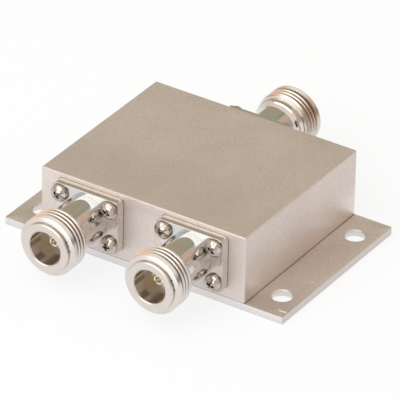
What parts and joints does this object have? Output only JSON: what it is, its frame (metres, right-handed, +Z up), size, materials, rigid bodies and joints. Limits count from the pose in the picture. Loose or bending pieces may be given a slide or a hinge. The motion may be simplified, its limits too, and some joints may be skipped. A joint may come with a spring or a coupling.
{
  "type": "rf power splitter",
  "caption": "Coaxial power splitter: a milled metal box on a drilled mounting plate, with flanged threaded jacks on its front and back faces.",
  "frame": {"origin": "centre of the mounting plate's underside, which is the middle of the part's own length and width", "axes": "+X to the right seen from the output side, +Y from the output jacks' face to the input jack's face, +Z up out of the plate; the output jacks face -Y"},
  "size_m": [0.082, 0.0914, 0.0207],
  "materials": {
    "nickel_box": "satin nickel plate with a fine speckled grain",
    "nickel_plate": "satin nickel plate, the same batch as the box",
    "nickel_jack": "bright nickel plate on turned brass",
    "screw_steel": "bright plated steel",
    "contact_gold": "pale gold plate",
    "insulator": "white PTFE",
    "laminate": "woven microwave laminate",
    "copper": "etched copper",
    "chip": "glazed chip resistor",
    "solder": "tin solder"
  },
  "bodies": {
    "root": {"housing": "nickel_box", "base_plate": "nickel_plate", "plate_screws": "screw_steel", "circuit_board": "laminate", "ground_plane": "copper", "divider_line": "copper", "isolation_resistors": "chip", "board_screws": "screw_steel", "solder_joints": "solder", "flange_screws": "screw_steel", "output_1_body": "nickel_jack", "output_1_rear_insulator": "insulator", "output_1_front_insulator": "insulator", "output_1_contact": "contact_gold", "output_2_body": "nickel_jack", "output_2_rear_insulator": "insulator", "output_2_front_insulator": "insulator", "output_2_contact": "contact_gold", "input_body": "nickel_jack", "input_rear_insulator": "insulator", "input_front_insulator": "insulator", "input_contact": "contact_gold"}
  },
  "joints": []
}
